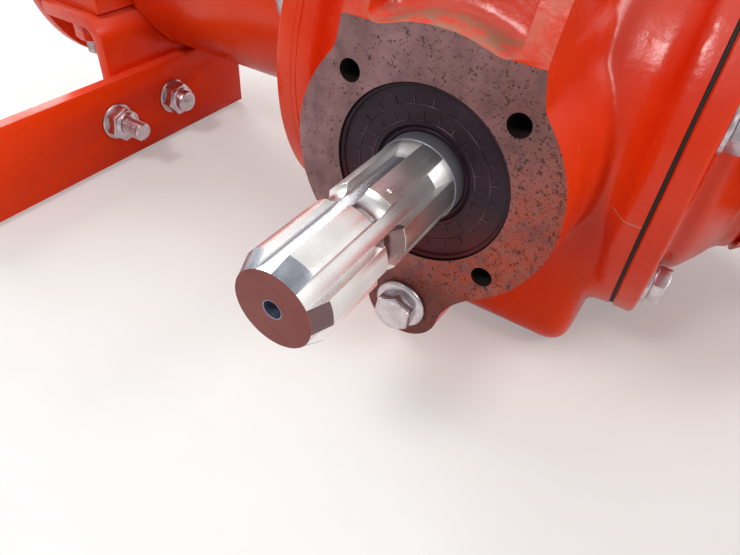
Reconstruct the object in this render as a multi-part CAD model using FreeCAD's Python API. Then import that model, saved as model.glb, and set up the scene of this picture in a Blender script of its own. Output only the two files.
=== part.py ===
import FreeCAD, Part
import math
import os

# Rotavator drive head: a right-angle gearbox with a splined input shaft,
# a cross shaft in an axle tube on the left and a closed tube stub on the right.
# Origin where the input shaft's axis meets the machined front face.
# +X to the right seen from the front, +Y backwards, +Z up, millimetres.

vec = FreeCAD.Vector
along_x = vec(1, 0, 0)
along_y = vec(0, 1, 0)
along_z = vec(0, 0, 1)

# Clearances
running_gap = 0.05
seat_gap = 0.02
bolt_gap = 0.6
tube_gap = 0.3
overcut = 1.0

# Gaskets and washers
gasket_width = 1.8
gasket_set_back = 1.0
washer_width = 2.0

# Input shaft
spline_count = 6
spline_tip_r = 17.4
spline_root_r = 14.5
tooth_width = 9.2
first_tooth_deg = 9.6
shaft_out = 89.4
shaft_end_r = 14.3
shaft_chamfer_length = 6.9
lock_groove_from_end = 43.2
lock_groove_cutter_r = 7.5
lock_groove_bottom_r = 14.6
runout_length = 9.0
runout_end = 3.0
collar_r = 17.8
centre_hole_r = 3.3
centre_hole_depth = 14.0
input_bearing_bore_r = 17.5
pinion_seat_r = 15.0

# Machined front face: round, with two square pads on top and a lobe below
face_r = 58.0
pad_half_width = 38.3
pad_side_x = 41.0
pad_top_z = 53.5
guard_hole_pitch = 68.0
guard_hole_r = 4.6
guard_hole_depth = 22.0
lobe_rise = 40.0
lobe_r = 18.5
lobe_neck_x = 30.0
lobe_waist_x = 21.5
lobe_waist_rise = 8.0
boss_draft = 4.0
boss_root = 22.0

# Input bore, seal and bearings, from the front face backwards
seal_r = 38.0
seal_recess = 1.0
seal_depth = 10.0
seal_web = 5.0
seal_lip_r = 20.0
seal_web_r = 30.0
seal_space = 3.0
input_bearing_r = 36.0
input_bearing_width = 17.0
bearing_spacer = 9.0
sleeve_wall = 10.0
sleeve_lip = 1.0
input_front_bearing_y = seal_recess + seal_depth + seal_space
input_rear_bearing_y = input_front_bearing_y + input_bearing_width + bearing_spacer
sleeve_end_y = input_rear_bearing_y + input_bearing_width + sleeve_lip
sleeve_r = input_bearing_r + sleeve_wall

# Gears as plain blocks
crown_r = 68.0
crown_width = 22.0
crown_face_x = -36.0
mesh_gap = 6.0
pinion_rim = 6.0
pinion_length = 26.0
pinion_gap = 6.0
pinion_lead = 5.0
pinion_big_r = -crown_face_x - mesh_gap
pinion_small_r = pinion_seat_r + pinion_rim
pinion_front_y = sleeve_end_y + pinion_gap

# Gear case
cross_y = pinion_front_y + pinion_lead + crown_r
crown_gap = 15.0
case_wall = 9.0
side_wall = 8.0
crown_side_gap = 4.0
sump_drop = 16.0
sump_edge_r = 25.0
case_corner_r = 10.0
case_r = crown_r + crown_gap + case_wall
case_half_width = -crown_face_x + crown_width + crown_side_gap + side_wall
sump_z = -(case_r + sump_drop)
lobe_centre_z = sump_z + lobe_rise
lobe_waist_z = lobe_centre_z + lobe_waist_rise

# Crest with its two ribs
rib_inner_x = 28.5
rib_lean_deg = 27.0
crest_rise = 28.0
crest_back_reach = 28.0
crest_back_run = 12.0
crest_root_r = 12.0
crest_wall = 9.0
pocket_depth = 16.0
pocket_low_z = 33.0
top_hole_pitch_x = 50.0
top_hole_pitch_y = 46.0
top_hole_r = 5.1
top_hole_lead = 30.0
crest_top_z = case_r + crest_rise
crest_back_y = cross_y + crest_back_reach
top_hole_centre_y = cross_y - top_hole_lead

# Side flanges
left_joint_reach = 18.0
right_joint_reach = 11.5
cast_flange_width = 9.0
flange_rise = 10.0
cap_flange_width = 9.8
bolt_edge = 15.0
side_bore_gap = 2.0
side_bolt_count = 6
side_bolt_first_deg = 21.1
side_bolt_r = 5.0
side_washer_r = 10.8
left_joint_x = -case_half_width - left_joint_reach
right_joint_x = case_half_width + right_joint_reach
flange_r = case_r + flange_rise
side_bolt_circle_r = flange_r - bolt_edge
side_bore_r = crown_r + side_bore_gap

# Bearing carriers inside the side flanges, and the cross shaft
carrier_reach = 20.0
carrier_lip = 4.0
carrier_lip_r = 38.0
cross_bearing_r = 45.0
cross_bearing_width = 20.0
cross_shaft_r = 20.0
shaft_stand_off = 4.0
cross_spline_r = 17.4
cross_spline_length = 42.0
spline_end_chamfer = 2.0
cross_slot_r = 3.4
cross_slot_rise = 1.2
cross_slot_stop = 6.0

# Axle tubes and their end flanges
tube_r = 50.0
tube_wall = 6.0
left_tube_length = 230.0
right_tube_length = 68.0
neck_washer_gap = 0.2
neck_shoulder_length = 17.0
neck_foot_rise = 5.0
neck_length = 28.0
neck_shoulder_r = side_bolt_circle_r - side_washer_r - neck_washer_gap
end_flange_r = 76.0
end_flange_width = 10.0
end_bolt_circle_r = 63.0
end_bolt_count = 6
end_bolt_first_deg = 30.0
end_hole_r = 5.5
weld_leg = 6.0
end_bearing_r = 36.0
left_seat_x = left_joint_x - gasket_width - cap_flange_width
right_seat_x = right_joint_x + gasket_width + cap_flange_width
left_tube_end_x = left_seat_x - left_tube_length
neck_end_x = right_seat_x + neck_length
right_tube_end_x = neck_end_x + right_tube_length

# Rear cover, with the drain plug below it
drain_plug_rise = 16.0
cover_drain_gap = 16.0
cover_half_width = 52.0
cover_high_z = 34.0
cover_corner_r = 14.0
cover_stand_off = 6.0
cover_width = 7.0
cover_margin = 17.0
cover_bolt_r = 4.0
cover_bolt_length = 22.0
cover_hole_r = 4.3
drain_plug_z = sump_z + drain_plug_rise
cover_low_z = drain_plug_z + cover_drain_gap
cover_pad_y = cross_y + case_r + cover_stand_off

# Plugs: thread radius, flange radius and width, hexagon across flats and height
level_plug = (6.0, 12.5, 2.5, 19.0, 10.0)
filler_plug = (9.0, 14.0, 3.0, 22.0, 12.0)
drain_plug = (7.0, 11.0, 2.5, 17.0, 9.0)
level_plug_depth = 14.0

# Saddle bracket: a bent plate under the left tube, its top flange turned outwards
saddle_from_tube_end = 71.6
saddle_width = 8.0
saddle_bend_r = 16.0
saddle_front_reach = 83.0
saddle_back_reach = 15.0
saddle_tab_reach = 26.0
saddle_flange_reach = 46.0
saddle_top_z = -14.0
saddle_drop = 50.0
saddle_front_y = cross_y - saddle_front_reach
saddle_back_y = cross_y + saddle_back_reach
saddle_tab_front_y = saddle_front_y - saddle_tab_reach
saddle_low_z = -(tube_r + saddle_drop)
saddle_x = left_tube_end_x + saddle_from_tube_end

# Clamp block on the bracket's top flange
block_set_back = 6.0
block_length = 44.0
block_depth = 42.0
block_height = 34.0
block_bolt_lead = 9.0
block_bolt_r = 6.0
block_bolt_y = saddle_front_y + block_set_back + block_bolt_lead

# Hanger plate behind the bracket, held by two bolts
hanger_width = 8.0
hanger_front_reach = 114.0
hanger_back_reach = 16.0
hanger_height = 55.0
bracket_bolt_lead = 8.0
hanger_front_y = saddle_front_y - hanger_front_reach
hanger_back_y = saddle_back_y + hanger_back_reach
hanger_top_z = -tube_r - tube_gap
bracket_bolt_front_y = saddle_front_y - bracket_bolt_lead
bracket_bolt_pitch = 50.0
bracket_bolt_drop = 26.0
bracket_bolt_r = 6.0
bracket_washer_r = 12.0
bracket_bolt_thread_out = (18.0, 4.0)

# Hexagon heads and nuts, in thread radii
hex_flats_factor = 3.3
hex_head_factor = 1.35
hex_nut_factor = 1.7
hex_chamfer_factor = 0.97


def cylinder(radius, length, start, axis):
    return Part.makeCylinder(radius, length, start, axis)


def ring(outer_r, inner_r, length, start, axis):
    outer = cylinder(outer_r, length, start, axis)
    return outer.cut(cylinder(inner_r, length, start, axis))


def box(low, high):
    return Part.makeBox(high.x - low.x, high.y - low.y, high.z - low.z, low)


def fuse_all(shapes):
    body = shapes[0]
    for shape in shapes[1:]:
        body = body.fuse(shape)
    return body.removeSplitter()


def outline(steps):
    """A closed wire through the points; a pair is an arc, by its first point to its second."""
    edges = []
    here = steps[0]
    for step in steps[1:]:
        if isinstance(step, tuple):
            middle, end = step
            edges.append(Part.Arc(here, middle, end).toShape())
        else:
            end = step
            edges.append(Part.makeLine(here, end))
        here = end
    if not here.isEqual(steps[0], seat_gap):
        edges.append(Part.makeLine(here, steps[0]))
    return Part.Wire(edges)


def prism(wire, travel):
    return Part.Face(wire).extrude(travel)


def x_prism(wire, low_x, high_x):
    moved = wire.copy()
    moved.translate(vec(low_x, 0, 0))
    return prism(moved, vec(high_x - low_x, 0, 0))


def turned_about_y(profile):
    """A turned piece about the input axis, from (y, radius) pairs."""
    wire = outline([vec(radius, y, 0) for y, radius in profile])
    return Part.Face(wire).revolve(vec(0, 0, 0), along_y, 360)


def turned_about_x(steps):
    """A turned piece about the cross axis, its section given at the back."""
    return Part.Face(outline(steps)).revolve(vec(0, cross_y, 0), along_x, 360)


def section_point(x, radius):
    return vec(x, cross_y + radius, 0)


def cross_point(x):
    return vec(x, cross_y, 0)


def circle_points(centre, radius, count, first_deg):
    """Places on a circle about the cross axis, the first above the front direction."""
    turns = [math.radians(first_deg + 360 / count * i) for i in range(count)]
    offsets = [vec(0, -radius * math.cos(t), radius * math.sin(t)) for t in turns]
    return [centre + offset for offset in offsets]


def hexagon(across_flats, height, start, axis):
    """A hexagonal prism with its corners chamfered at the far end."""
    corner_r = across_flats / math.sqrt(3)
    turns = [math.radians(60 * i) for i in range(6)]
    corners = [vec(corner_r * math.cos(t), corner_r * math.sin(t), 0) for t in turns]
    body = prism(outline(corners), vec(0, 0, height))
    cone_r = across_flats / 2 * hex_chamfer_factor
    body = body.common(Part.makeCone(cone_r + height, cone_r, height, vec(0, 0, 0), along_z))
    body.Placement = FreeCAD.Placement(start, FreeCAD.Rotation(along_z, axis))
    return body


def hex_bolt(radius, length, seat, axis):
    """A bolt whose head stands on the seat along the axis, its shank the other way."""
    head = hexagon(radius * hex_flats_factor, radius * hex_head_factor, seat, axis)
    shank = cylinder(radius, length, seat, axis * -1)
    return head.fuse(shank)


def hex_nut(radius, seat, axis):
    height = radius * hex_nut_factor
    nut = hexagon(radius * hex_flats_factor, height, seat, axis)
    return nut.cut(cylinder(radius + running_gap, height, seat, axis))


def washer(radius, bolt_r, seat, axis):
    return ring(radius, bolt_r + running_gap, washer_width, seat, axis)


def plug(sizes, depth, seat, axis):
    """A threaded plug with a round flange and a hexagon head on it."""
    thread_r, flange_radius, flange_width, flats, height = sizes
    flange = cylinder(flange_radius, flange_width, seat, axis)
    head = hexagon(flats, height, seat, axis)
    shank = cylinder(thread_r, depth, seat, axis * -1)
    return fuse_all([flange, head, shank])


def drilled(body, places, radius, length, axis):
    holes = [cylinder(radius, length, place, axis) for place in places]
    return body.cut(Part.makeCompound(holes))


def gap_cutter():
    """One gap between two spline teeth, its floor below the root circle."""
    half_pitch = math.pi / spline_count
    flank = tooth_width / 2
    low_reach = spline_root_r - overcut
    high_reach = spline_tip_r + collar_r
    corners = []
    for side in (-1, 1):
        tooth = side * half_pitch
        direction = vec(math.cos(tooth), 0, math.sin(tooth))
        normal = vec(-math.sin(tooth), 0, math.cos(tooth)) * -side
        for reach in (low_reach, high_reach)[::-side]:
            along = math.sqrt(reach * reach - flank * flank)
            corners.append(direction * along + normal * flank)
    wire = outline(corners)
    wire.translate(vec(0, -shaft_out - overcut, 0))
    return prism(wire, vec(0, shaft_out + overcut - runout_end, 0))


def make_input_shaft():
    pinion_end_y = pinion_front_y + pinion_length
    blank = turned_about_y([
        (-shaft_out, 0),
        (-shaft_out, shaft_end_r),
        (-shaft_out + shaft_chamfer_length, spline_tip_r),
        (-runout_end, spline_tip_r),
        (-runout_end, collar_r),
        (input_front_bearing_y, collar_r),
        (input_front_bearing_y, input_bearing_bore_r),
        (pinion_front_y, input_bearing_bore_r),
        (pinion_front_y, pinion_seat_r),
        (pinion_end_y, pinion_seat_r),
        (pinion_end_y, 0),
    ])
    cutter = gap_cutter()
    gaps = []
    for i in range(spline_count):
        turned = cutter.copy()
        turn_deg = -(first_tooth_deg + 360 / spline_count * (i + 0.5))
        turned.rotate(vec(0, 0, 0), along_y, turn_deg)
        gaps.append(turned)
    runout_start = runout_end + runout_length
    core = turned_about_y([
        (-shaft_out, 0),
        (-shaft_out, min(shaft_end_r, spline_root_r)),
        (-shaft_out + shaft_chamfer_length, spline_root_r),
        (-runout_start, spline_root_r),
        (-runout_end, spline_tip_r),
        (-runout_end, 0),
    ])
    shaft = fuse_all([blank.cut(Part.makeCompound(gaps)), core])
    groove = Part.makeTorus(
        lock_groove_bottom_r + lock_groove_cutter_r,
        lock_groove_cutter_r,
        vec(0, -shaft_out + lock_groove_from_end, 0),
        along_y,
    )
    centre_hole = cylinder(
        centre_hole_r, centre_hole_depth, vec(0, -shaft_out, 0), along_y
    )
    return shaft.cut(groove).cut(centre_hole)


def make_input_seal():
    """A lip seal: outer band, sunk web and a raised lip ring round the shaft."""
    back = seal_recess + seal_depth
    web = seal_recess + seal_web
    lip_front = seal_recess + 1.0
    return turned_about_y([
        (seal_recess, seal_r - seat_gap),
        (back, seal_r - seat_gap),
        (back, seal_web_r + 4),
        (web, seal_web_r),
        (web, seal_lip_r),
        (web + 1.0, collar_r + running_gap),
        (lip_front, collar_r + running_gap),
        (lip_front, seal_lip_r + 2.0),
        (seal_recess + 2.0, seal_web_r - 2.0),
        (seal_recess, seal_web_r),
    ])


def make_input_bearings():
    return Part.makeCompound([
        ring(
            input_bearing_r - seat_gap,
            input_bearing_bore_r + running_gap,
            input_bearing_width,
            vec(0, y, 0),
            along_y,
        )
        for y in (input_front_bearing_y, input_rear_bearing_y)
    ])


def make_pinion():
    front = vec(0, pinion_front_y, 0)
    cone = Part.makeCone(pinion_big_r, pinion_small_r, pinion_length, front, along_y)
    return cone.cut(cylinder(pinion_seat_r + seat_gap, pinion_length, front, along_y))


def make_crown_wheel():
    back_face = cross_point(crown_face_x - crown_width)
    return ring(crown_r, cross_shaft_r + seat_gap, crown_width, back_face, along_x)


def rib_front_y(z):
    return max(0.0, (z - pad_top_z) * math.tan(math.radians(rib_lean_deg)))


def crest_profile(inset, top_z, back_y):
    """Side view of the crest, set back behind the rib fronts by the inset."""
    return outline([
        vec(0, inset, pocket_low_z),
        vec(0, inset, pad_top_z),
        vec(0, inset + rib_front_y(top_z), top_z),
        vec(0, back_y, top_z),
        vec(0, back_y + crest_back_run, 0),
        vec(0, cross_y - crown_r, 0),
        vec(0, cross_y - crown_r, pocket_low_z),
    ])


def case_profile(inset):
    """Side view of the gear case: a round back and top over a square sump."""
    front = cross_y - case_r + inset
    back = cross_y + case_r - inset
    low = sump_z + inset
    radius = sump_edge_r - inset
    bend = radius * math.sin(math.radians(45))
    front_centre = vec(0, front + radius, low + radius)
    back_centre = vec(0, back - radius, low + radius)
    return outline([
        vec(0, back, 0),
        (vec(0, cross_y, case_r - inset), vec(0, front, 0)),
        front_centre + vec(0, -radius, 0),
        (front_centre + vec(0, -bend, -bend), front_centre + vec(0, 0, -radius)),
        back_centre + vec(0, 0, -radius),
        (back_centre + vec(0, bend, -bend), back_centre + vec(0, radius, 0)),
    ])


def face_outline(y, grow):
    """The front face's outline at a depth, larger by the draft it has there."""
    radius = face_r + grow
    side_x = pad_side_x + grow
    side_z = math.sqrt(radius ** 2 - side_x ** 2)
    pad_x = pad_half_width + grow
    top_z = pad_top_z + grow
    inner_x = math.sqrt(radius ** 2 - top_z ** 2)
    neck_x = lobe_neck_x + grow
    neck_z = -math.sqrt(radius ** 2 - neck_x ** 2)
    waist_x = lobe_waist_x + grow
    lobe_x = lobe_r + grow
    return outline([
        vec(-side_x, y, side_z),
        vec(-pad_x, y, top_z),
        vec(-inner_x, y, top_z),
        (vec(0, y, radius), vec(inner_x, y, top_z)),
        vec(pad_x, y, top_z),
        vec(side_x, y, side_z),
        (vec(radius, y, 0), vec(neck_x, y, neck_z)),
        (vec(waist_x, y, lobe_waist_z), vec(lobe_x, y, lobe_centre_z)),
        (vec(0, y, lobe_centre_z - lobe_x), vec(-lobe_x, y, lobe_centre_z)),
        (vec(-waist_x, y, lobe_waist_z), vec(-neck_x, y, neck_z)),
        (vec(-radius, y, 0), vec(-side_x, y, side_z)),
    ])


def make_boss():
    """The boss behind the front face, drafted wider towards the case."""
    boss_end_y = cross_y - case_r + boss_root
    return Part.makeLoft(
        [face_outline(0, 0), face_outline(boss_end_y, boss_draft)], True, True
    )


def make_case():
    case = x_prism(case_profile(0), -case_half_width, case_half_width)
    corners = [
        edge for edge in case.Edges
        if edge.BoundBox.XLength < seat_gap and edge.BoundBox.ZMax < seat_gap
    ]
    return case.makeFillet(case_corner_r, corners)


def make_cast_flange(joint_x, inwards):
    """A flange rim that sweeps down to the drum in a hollow curve."""
    depth = cast_flange_width + flange_rise
    body = cylinder(flange_r, depth, cross_point(joint_x), along_x * inwards)
    hollow = Part.makeTorus(
        flange_r, flange_rise, cross_point(joint_x + depth * inwards), along_x
    )
    return body.cut(hollow)


def make_crest():
    crest = x_prism(
        crest_profile(0, crest_top_z, crest_back_y), -pad_half_width, pad_half_width
    )
    pocket = outline([
        vec(0, -overcut, pocket_low_z),
        vec(0, pocket_depth, pocket_low_z),
        vec(0, pocket_depth, pad_top_z),
        vec(0, pocket_depth + rib_front_y(crest_top_z + overcut), crest_top_z + overcut),
        vec(0, -overcut, crest_top_z + overcut),
    ])
    return crest.cut(x_prism(pocket, -rib_inner_x, rib_inner_x))


def make_drum_with_crest():
    drum = cylinder(
        case_r, right_joint_x - left_joint_x, cross_point(left_joint_x), along_x
    )
    body = fuse_all([drum, make_crest()])
    roots = [
        edge for edge in body.Edges
        if edge.BoundBox.XLength < seat_gap
        and abs(abs(edge.BoundBox.XMin) - pad_half_width) < seat_gap
        and isinstance(edge.Curve, Part.Circle)
    ]
    return body.makeFillet(crest_root_r, roots)


def make_inner_room():
    """What is hollow inside the case, round the sleeve that holds the bearings."""
    inside = case_half_width - side_wall
    cavity = x_prism(case_profile(case_wall), -inside, inside)
    crest_inside = rib_inner_x
    crest_room = x_prism(
        crest_profile(
            pocket_depth + crest_wall, crest_top_z - crest_wall, crest_back_y - crest_wall
        ),
        -crest_inside,
        crest_inside,
    )
    side_bore = cylinder(
        side_bore_r + seat_gap, right_joint_x - left_joint_x, cross_point(left_joint_x), along_x
    )
    rear_opening = cover_window(cross_y, cover_pad_y)
    room = fuse_all([cavity, crest_room, side_bore, rear_opening])
    return room.cut(cylinder(sleeve_r, sleeve_end_y, vec(0, 0, 0), along_y))


def make_housing():
    rear_pad = box(
        vec(-cover_half_width, cross_y, cover_low_z),
        vec(cover_half_width, cover_pad_y, cover_high_z),
    )
    body = fuse_all([
        make_drum_with_crest(),
        make_case(),
        make_boss(),
        rear_pad,
        make_cast_flange(left_joint_x, 1),
        make_cast_flange(right_joint_x, -1),
    ])
    input_bore = cylinder(input_bearing_r, sleeve_end_y, vec(0, 0, 0), along_y)
    seal_bore = cylinder(seal_r, seal_recess + seal_depth, vec(0, 0, 0), along_y)
    body = body.cut(make_inner_room()).cut(input_bore).cut(seal_bore)
    return body.cut(Part.makeCompound(housing_holes()))


def guard_places():
    half = guard_hole_pitch / 2
    return [vec(x, 0, z) for x in (-half, half) for z in (-half, half)]


def top_places():
    return [
        vec(x, top_hole_centre_y + y, crest_top_z)
        for x in (-top_hole_pitch_x / 2, top_hole_pitch_x / 2)
        for y in (-top_hole_pitch_y / 2, top_hole_pitch_y / 2)
    ]


def cover_places(y):
    across = cover_half_width - cover_margin / 2
    low = cover_low_z + cover_margin / 2
    high = cover_high_z - cover_margin / 2
    return [vec(x, y, z) for x in (-across, across) for z in (low, (low + high) / 2, high)]


def side_bolt_places(x):
    return circle_points(
        cross_point(x), side_bolt_circle_r, side_bolt_count, side_bolt_first_deg
    )


def level_plug_seat():
    return vec(0, 0, lobe_centre_z)


def filler_plug_seat():
    return vec(0, top_hole_centre_y, crest_top_z)


def drain_plug_seat():
    return vec(0, cross_y + case_r, drain_plug_z)


def housing_holes():
    downwards = along_z * -1
    forwards = along_y * -1
    cover_thread = cover_bolt_length - cover_width
    rows = [
        (guard_places(), guard_hole_r, guard_hole_depth, along_y),
        (top_places(), top_hole_r, crest_wall, downwards),
        ([level_plug_seat()], level_plug[0] + running_gap, level_plug_depth, along_y),
        ([filler_plug_seat()], filler_plug[0] + running_gap, crest_wall, downwards),
        ([drain_plug_seat()], drain_plug[0] + running_gap, case_wall, forwards),
        (cover_places(cover_pad_y), cover_bolt_r + running_gap, cover_thread, forwards),
        (side_bolt_places(left_joint_x), side_bolt_r + running_gap, cast_flange_width, along_x),
        (side_bolt_places(right_joint_x), side_bolt_r + running_gap, cast_flange_width,
         along_x * -1),
    ]
    return [
        cylinder(radius, depth, place, axis)
        for places, radius, depth, axis in rows
        for place in places
    ]


def make_gasket(x, outer_r):
    body = ring(outer_r, side_bore_r + seat_gap, gasket_width, cross_point(x), along_x)
    return drilled(body, side_bolt_places(x), side_bolt_r + bolt_gap, gasket_width, along_x)


def make_left_flange():
    inner_x = left_joint_x - gasket_width
    outer_x = left_seat_x
    bore_r = cross_bearing_r + seat_gap
    body = turned_about_x([
        section_point(outer_x - weld_leg, tube_r),
        section_point(outer_x, tube_r + weld_leg),
        section_point(outer_x, flange_r),
        section_point(inner_x, flange_r),
        section_point(inner_x, side_bore_r),
        section_point(left_joint_x + carrier_reach, side_bore_r),
        section_point(left_joint_x + carrier_reach, bore_r),
        section_point(outer_x + carrier_lip, bore_r),
        section_point(outer_x + carrier_lip, carrier_lip_r),
        section_point(outer_x, carrier_lip_r),
        section_point(outer_x, tube_r),
    ])
    places = side_bolt_places(outer_x)
    return drilled(body, places, side_bolt_r + bolt_gap, cap_flange_width, along_x)


def make_right_neck():
    """The right flange, whose neck falls in a round shoulder to the tube."""
    inner_x = right_joint_x + gasket_width
    bore_r = cross_bearing_r + seat_gap
    reach_x = right_joint_x - carrier_reach
    shoulder_fall = neck_shoulder_r - tube_r
    bulge = section_point(
        right_seat_x + neck_shoulder_length * 0.6, neck_shoulder_r - shoulder_fall * 0.17
    )
    waist = section_point(
        right_seat_x + neck_shoulder_length, neck_shoulder_r - shoulder_fall / 2
    )
    foot_x = right_seat_x + (neck_shoulder_length + neck_length) / 2
    foot_r = tube_r + neck_foot_rise
    body = turned_about_x([
        section_point(reach_x, bore_r),
        section_point(reach_x, side_bore_r),
        section_point(inner_x, side_bore_r),
        section_point(inner_x, flange_r),
        section_point(right_seat_x, flange_r),
        section_point(right_seat_x, neck_shoulder_r),
        (bulge, waist),
        section_point(foot_x, foot_r),
        section_point(neck_end_x, tube_r + running_gap),
        section_point(neck_end_x, tube_r - tube_wall),
        section_point(inner_x, carrier_lip_r),
        section_point(inner_x, bore_r),
    ])
    places = side_bolt_places(inner_x)
    return drilled(body, places, side_bolt_r + bolt_gap, cap_flange_width, along_x)


def make_side_bolts(seat_x, axis):
    length = washer_width + cap_flange_width + gasket_width + cast_flange_width - overcut
    return Part.makeCompound([
        hex_bolt(side_bolt_r, length, place + axis * washer_width, axis)
        for place in side_bolt_places(seat_x)
    ])


def make_side_washers(seat_x, axis):
    return Part.makeCompound([
        washer(side_washer_r, side_bolt_r, place, axis) for place in side_bolt_places(seat_x)
    ])


def make_tube(low_x, high_x):
    return ring(tube_r, tube_r - tube_wall, high_x - low_x, cross_point(low_x), along_x)


def drill_end_flange(body, x):
    places = circle_points(
        cross_point(x), end_bolt_circle_r, end_bolt_count, end_bolt_first_deg
    )
    return drilled(body, places, end_hole_r, end_flange_width, along_x)


def make_left_end_flange():
    start_x = left_tube_end_x - end_flange_width
    body = ring(
        end_flange_r, end_bearing_r + seat_gap, end_flange_width, cross_point(start_x), along_x
    )
    return drill_end_flange(body, start_x)


def make_left_end_bearing():
    start = cross_point(left_tube_end_x - end_flange_width)
    return ring(end_bearing_r, cross_shaft_r + running_gap, end_flange_width, start, along_x)


def make_right_end_flange():
    body = cylinder(end_flange_r, end_flange_width, cross_point(right_tube_end_x), along_x)
    return drill_end_flange(body, right_tube_end_x)


def cross_bearing_starts():
    left = left_seat_x + carrier_lip
    right = right_joint_x + gasket_width - cross_bearing_width
    return left, right


def make_cross_bearings():
    return Part.makeCompound([
        ring(
            cross_bearing_r,
            cross_shaft_r + running_gap,
            cross_bearing_width,
            cross_point(start),
            along_x,
        )
        for start in cross_bearing_starts()
    ])


def make_cross_shaft():
    spline_start = left_tube_end_x - end_flange_width - shaft_stand_off
    shaft_end = right_joint_x + gasket_width + shaft_stand_off
    main = cylinder(
        cross_shaft_r, shaft_end - spline_start, cross_point(spline_start), along_x
    )
    stub_start = spline_start - cross_spline_length
    stub = turned_about_x([
        section_point(stub_start, 0),
        section_point(stub_start, cross_spline_r - spline_end_chamfer),
        section_point(stub_start + spline_end_chamfer, cross_spline_r),
        section_point(spline_start, cross_spline_r),
        section_point(spline_start, 0),
    ])
    slot_places = circle_points(
        cross_point(stub_start), cross_spline_r + cross_slot_rise, spline_count, 0
    )
    slot_length = cross_spline_length - cross_slot_stop
    return drilled(fuse_all([main, stub]), slot_places, cross_slot_r, slot_length, along_x)


def make_level_plug():
    seat = level_plug_seat() - along_y * seat_gap
    return plug(level_plug, level_plug_depth - overcut, seat, along_y * -1)


def make_filler_plug():
    return plug(filler_plug, crest_wall, filler_plug_seat(), along_z)


def make_drain_plug():
    return plug(drain_plug, case_wall, drain_plug_seat(), along_y)


def cover_plate(start_y, width):
    body = box(
        vec(-cover_half_width, start_y, cover_low_z),
        vec(cover_half_width, start_y + width, cover_high_z),
    )
    corners = [edge for edge in body.Edges if edge.BoundBox.YLength > width / 2]
    body = body.makeFillet(cover_corner_r, corners)
    return drilled(body, cover_places(start_y), cover_hole_r, width, along_y)


def cover_window(start_y, end_y):
    return box(
        vec(-cover_half_width + cover_margin, start_y, cover_low_z + cover_margin),
        vec(cover_half_width - cover_margin, end_y, cover_high_z - cover_margin),
    )


def make_rear_gasket():
    body = cover_plate(cover_pad_y, gasket_width)
    return body.cut(cover_window(cover_pad_y, cover_pad_y + gasket_width))


def make_rear_bolts():
    length = cover_bolt_length - overcut
    return Part.makeCompound([
        hex_bolt(cover_bolt_r, length, place, along_y)
        for place in cover_places(cover_pad_y + gasket_width + cover_width)
    ])


def bracket_bolt_places(x):
    z = hanger_top_z - bracket_bolt_drop
    return [vec(x, bracket_bolt_front_y + bracket_bolt_pitch * i, z) for i in range(2)]


def saddle_left_x():
    return saddle_x - saddle_width - saddle_flange_reach


def block_bolt_place(z):
    return vec(saddle_x - block_set_back - block_length / 2, block_bolt_y, z)


def make_saddle_bracket():
    low_x = saddle_x - saddle_width
    under_z = saddle_top_z - saddle_width
    outer_centre = vec(saddle_x - saddle_bend_r, saddle_front_y, saddle_top_z - saddle_bend_r)
    inner_r = saddle_bend_r - saddle_width
    lean = math.sin(math.radians(45))
    section = outline([
        vec(low_x, saddle_front_y, saddle_low_z),
        outer_centre + vec(inner_r, 0, 0),
        (outer_centre + vec(inner_r * lean, 0, inner_r * lean), outer_centre + vec(0, 0, inner_r)),
        vec(saddle_left_x(), saddle_front_y, under_z),
        vec(saddle_left_x(), saddle_front_y, saddle_top_z),
        outer_centre + vec(0, 0, saddle_bend_r),
        (
            outer_centre + vec(saddle_bend_r * lean, 0, saddle_bend_r * lean),
            outer_centre + vec(saddle_bend_r, 0, 0),
        ),
        vec(saddle_x, saddle_front_y, saddle_low_z),
    ])
    plate = prism(section, vec(0, saddle_back_y - saddle_front_y, 0))
    tab = box(
        vec(low_x, saddle_tab_front_y, saddle_low_z),
        vec(saddle_x, saddle_front_y, hanger_top_z),
    )
    tube_room = cylinder(
        tube_r + tube_gap,
        saddle_x - saddle_left_x() + 2 * overcut,
        cross_point(saddle_left_x() - overcut),
        along_x,
    )
    body = fuse_all([plate, tab]).cut(tube_room)
    body = drilled(
        body, bracket_bolt_places(low_x), bracket_bolt_r + bolt_gap, saddle_width, along_x
    )
    return drilled(
        body, [block_bolt_place(under_z)], block_bolt_r + bolt_gap, saddle_width, along_z
    )


def make_clamp_block():
    right_x = saddle_x - block_set_back
    front_y = saddle_front_y + block_set_back
    top_z = saddle_top_z + block_height
    body = box(
        vec(right_x - block_length, front_y, saddle_top_z),
        vec(right_x, front_y + block_depth, top_z),
    )
    tube_room = cylinder(
        tube_r + tube_gap, block_length, cross_point(right_x - block_length), along_x
    )
    return drilled(
        body.cut(tube_room),
        [block_bolt_place(saddle_top_z)],
        block_bolt_r + bolt_gap,
        block_height,
        along_z,
    )


def make_block_bolt():
    length = block_height + saddle_width + block_bolt_r * hex_nut_factor + washer_width
    thread_out = block_bolt_r
    seat = block_bolt_place(saddle_top_z + block_height)
    return hex_bolt(block_bolt_r, length + thread_out, seat, along_z)


def make_block_nut():
    seat = block_bolt_place(saddle_top_z - saddle_width)
    return hex_nut(block_bolt_r, seat, along_z * -1)


def make_hanger_plate():
    body = box(
        vec(saddle_x, hanger_front_y, hanger_top_z - hanger_height),
        vec(saddle_x + hanger_width, hanger_back_y, hanger_top_z),
    )
    return drilled(
        body, bracket_bolt_places(saddle_x), bracket_bolt_r + bolt_gap, hanger_width, along_x
    )


def make_bracket_bolts():
    seat_x = saddle_x - saddle_width
    grip = saddle_width + hanger_width + washer_width + bracket_bolt_r * hex_nut_factor
    return Part.makeCompound([
        hex_bolt(bracket_bolt_r, grip + thread_out, place, along_x * -1)
        for thread_out, place in zip(bracket_bolt_thread_out, bracket_bolt_places(seat_x))
    ])


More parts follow.
